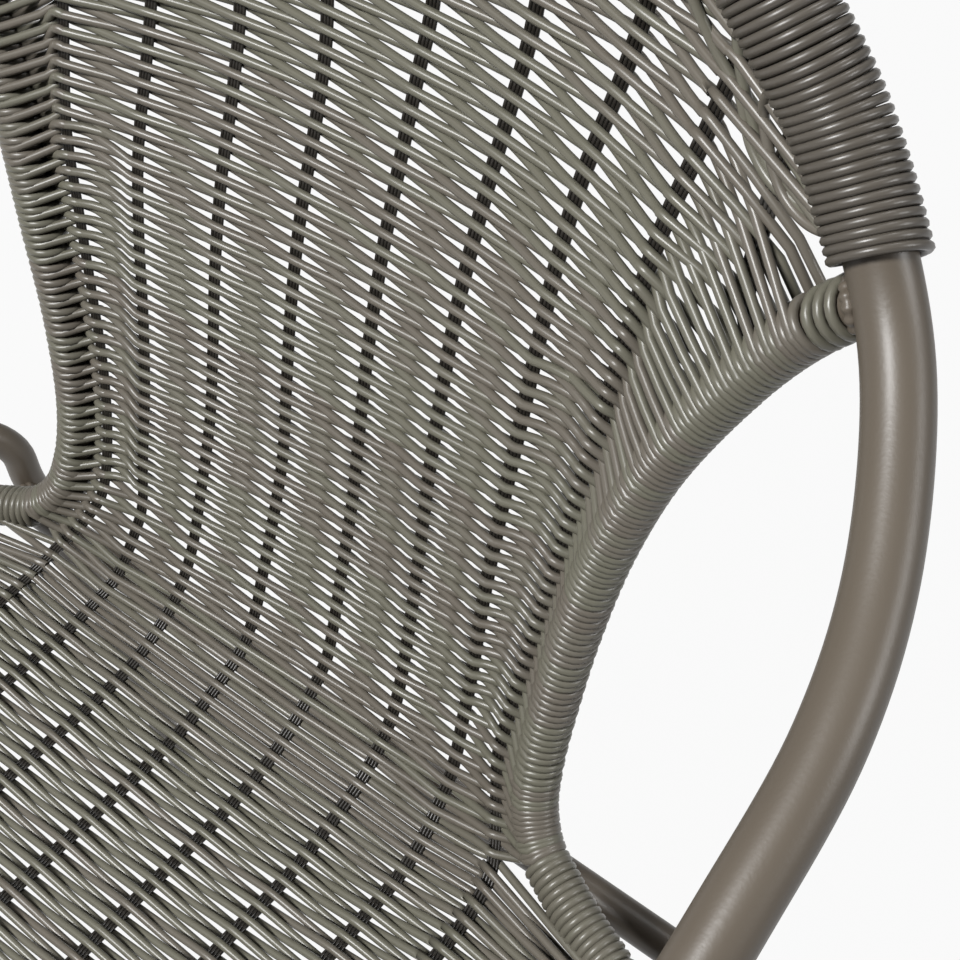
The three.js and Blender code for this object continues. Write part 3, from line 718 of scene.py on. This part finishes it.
def wound_turns(k, s, s_next):
    """points of the strand from its arrival over bar k, round it, to its way out below"""
    line, run, places = crossed[k]
    start = np.interp(s, centre_stations, places)
    end = np.interp(s_next, centre_stations, places)
    turns = max(1, round((end - start) / STRAND) - 1)
    pitch = (end - start) / (turns + 1)
    first, last = over_side(k, s), over_side(k, s_next)
    side = crossing(4 if k == 0 else 5, s) - crossing(k, s)
    path = []
    for degrees in np.arange(ARRIVES_AT_DEGREES, 360 * turns + LEAVES_AT_DEGREES, TURN_STEP_DEGREES):
        share = min(1.0, max(0.0, degrees / (360 * turns)))
        reached = start + pitch * turns * share
        c, a, b = at(line, run, reached), at(line, run, reached - 1), at(line, run, reached + 1)
        t = (b - a) / np.linalg.norm(b - a)
        up = first * (1 - share) + last * share
        up -= t * up.dot(t)
        up /= np.linalg.norm(up)
        previous, side = side, np.cross(t, up)
        side *= math.copysign(1, side.dot(previous))
        angle = math.radians(degrees)
        path.append(c + WOUND * (math.cos(angle) * up - math.sin(angle) * side))
    return path


def smooth(points):
    """the points of a path with one more between each two, on the curve through them"""
    p = np.array(points)
    q = np.vstack([2 * p[0] - p[1], p, 2 * p[-1] - p[-2]])
    middle = (9 * (q[1:-2] + q[2:-1]) - q[:-3] - q[3:]) / 16
    out = np.empty((2 * len(p) - 1, 3))
    out[0::2] = p
    out[1::2] = middle
    return out


ARM_FRONT_Y = 200


def hoop_number(z):
    """number of the hoop's point at that height behind the arms"""
    return int(np.argmin(abs(hoop_line[:, 2] - z) + RULED_OUT * (hoop_line[:, 1] < ARM_FRONT_Y)))


HOOP_END_DROP = 8
HOOP_END_LOWEST = 772
UNDER_COIL = 13


def hoop_end(k, s):
    """where a row past its outermost stake k goes under the coil of the hoop"""
    i = hoop_number(max(crossing(k, s)[2] - HOOP_END_DROP, HOOP_END_LOWEST))
    t = hoop_line[min(i + 2, len(hoop_line) - 1)] - hoop_line[max(i - 2, 0)]
    t /= np.linalg.norm(t)
    inward = np.array((-1.0, 0, 0)) + t[0] * t
    p = hoop_line[i] + UNDER_COIL * inward / np.linalg.norm(inward)
    return p if k > 4 else p * TO_RIGHT


FREE_TOP = (0, 24, 20, 18, 17, 17, 18, 20, 24, 0)


def held_by(s):
    """the stakes that still stand at row s, each free of rows for a little below its top"""
    return [k for k in range(1, 9) if room(k, s) > FREE_TOP[k]]


# The strand is followed from right to left, round the left bar, back and round the
# right bar. Where a bar has no length left but that of its loose turns, the rows
# end under the hoop's coil instead.
LOOSE_LENGTH = 30
WAIST_TOP_Z = 600
BACK_TOP_Z = 740
WEFT_RADIUS = {"seat_wefts": 1.8, "waist_wefts": 2.0, "back_wefts": 1.95, "top_wefts": 1.85}
weft_runs = {name: [] for name in WEFT_RADIUS}
last_wound = {0: 0.0, 9: 0.0}
path = woven_row(0, rows[0], 1, 8)[:2]
for index in range(0, len(rows) - 4, 2):
    s, s_back, s_next, after = rows[index:index + 4]
    held, held_back = held_by(s), held_by(s_back)
    if len(held_back) < 2:
        break
    z = crossing(4, s)[2]
    if s < crease:
        group = "seat_wefts"
    else:
        group = "waist_wefts" if z < WAIST_TOP_Z else "back_wefts" if z < BACK_TOP_Z else "top_wefts"
    out = woven_row(index, s, held[0], held[-1])
    back = woven_row(index + 1, s_back, held_back[0], held_back[-1])[::-1]
    path += out[2:] if path else [hoop_end(held[0], s), *out]
    if room(9, s_next) > LOOSE_LENGTH:
        path += corner(8, s, 1) + wound_turns(9, s, s_next) + corner(8, s_back, -1)
        last_wound[9] = s_next
    else:
        weft_runs[group].append(smooth([*path, hoop_end(held[-1], s)]))
        path = [hoop_end(held_back[-1], s_back)]
    path += back
    if room(0, after) > LOOSE_LENGTH:
        path += corner(1, s_back, 1) + wound_turns(0, s_back, after) + corner(1, s_next, -1)
        path += woven_row(index, s_next, 1, 8)[:2]
        weft_runs[group].append(smooth(path))
        path = path[-2:]
        last_wound[0] = after
    else:
        weft_runs[group].append(smooth([*path, hoop_end(held_back[0], s_back)]))
        path = []

for name, runs in weft_runs.items():
    wefts = strands(name, runs, WEFT_RADIUS[name], sides=8, seed=5)
    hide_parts("seat_weave" if name == "seat_wefts" else "back_weave")


# The border: on each side three strands lie along the inside of the hoop in
# front of the rows, and tuck in behind the lowest turns of the arm's coil.
BORDER_FORWARD = 3.5
BORDER = (((127, 247, 858), (129, 255, 835), (137, 255, 818), (152, 253, 799), (163, 251, 789),
           (172, 247, 775), (184, 243, 768), (198, 240, 768), (214, 237, 773)),
          ((164, 243, 836), (158, 252, 818), (161, 252, 800), (168, 250, 785), (176, 247, 775),
           (186, 243, 769), (200, 239, 767), (214, 236, 771)),
          ((180, 240, 806), (174, 247, 790), (179, 245, 778), (188, 241, 768), (200, 237, 765),
           (214, 234, 769)))
border_runs = [through([np.array(p) - (0, BORDER_FORWARD, 0) for p in line], count=90) * side
               for line in BORDER for side in (np.ones(3), TO_RIGHT)]
border = strands("border_strands", border_runs, STRAND / 2, sides=8, seed=21)
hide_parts("back_weave")


# The coil that covers the bars where no weft reaches them: the front bar with
# its two corners, and the last loose turns below each arm.
def coil(line, start, end, radius, pitch, steps, lean=0.0):
    """points of a winding round the line from length start to length end, with that many steps a
    turn; in front, the first turn is moved along the line by lean and the last back by as much"""
    run = lengths(line)
    turns = (end - start) / pitch
    s = np.linspace(start, end, int(turns * steps))
    p = at(line, run, s)
    t = at(line, run, np.minimum(s + 1, run[-1])) - at(line, run, np.maximum(s - 1, 0))
    t /= np.linalg.norm(t, axis=1)[:, None]
    a = np.cross(t, (0.2, 0.35, 1.0))
    a /= np.linalg.norm(a, axis=1)[:, None]
    b = np.cross(a, t)
    angle = 2 * math.pi * (s - start) / pitch
    around = np.cos(angle)[:, None] * a + np.sin(angle)[:, None] * b
    in_front = around @ np.array((0, -0.8, 0.6))
    slide = lean * in_front * (1 - 2 * (s - start) / (end - start))
    return p + radius * around + slide[:, None] * t


TIGHT_GAP = 0.08
LOOSE_PITCH = 5.6
LOOSE_START = 14
bar_length = lengths(bar_line)[-1]
first_row = bar_length - np.interp(rows[0], centre_stations, crossed[9][2])
arm_ends = [bar_length - np.interp(last_wound[k], centre_stations, crossed[k][2]) for k in (9, 0)]
runs = [coil(whole_bar, first_row, 2 * bar_length - first_row, WOUND, STRAND + TIGHT_GAP, steps=15)]
front = strands("front_coil", runs, STRAND / 2, sides=7, seed=12)
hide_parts("front_wrap")
runs = [coil(bar_line, LOOSE_START, end + 1, WOUND, LOOSE_PITCH, steps=20) * side
        for end, side in zip(arm_ends, (np.ones(3), TO_RIGHT))]
ends = strands("arm_end_coils", runs, STRAND / 2, sides=8, seed=14)
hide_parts("side_wrap_left", "side_wrap_right")


# The arm and the top of the hoop are wound with one strand as a tight coil, over
# a first layer that brings it out to 31.6 mm. The turns lean up a little in front.
ARM_STRAND = 3.2
ARM_COIL_OUTSIDE = 15.8
ARM_COIL_FOOT_Z = 767
ARM_COIL_LEAN = 2.6
hoop_run = lengths(hoop_line)
wrap_start = hoop_run[hoop_number(ARM_COIL_FOOT_Z)]
whole_hoop = np.vstack([hoop_line, (hoop_line[::-1] * TO_RIGHT)[1:]])
run = coil(whole_hoop, wrap_start, 2 * hoop_run[-1] - wrap_start, ARM_COIL_OUTSIDE - ARM_STRAND / 2,
           ARM_STRAND + TIGHT_GAP, steps=24, lean=ARM_COIL_LEAN)
# The coil is the same strand as the weave, coloured darker here as painted shade for the light that falls
# on the arm.
winding_painted_shade_plastic = extruded_strand("extruded_polyethylene_winding_painted_shade", ("#4e4842", "#504b44", "#544f48"))
piece = strands("top_coil", [run], ARM_STRAND / 2, sides=8, seed=13, plastic=winding_painted_shade_plastic)
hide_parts("top_wrap", "arm_winding_left", "arm_winding_right")
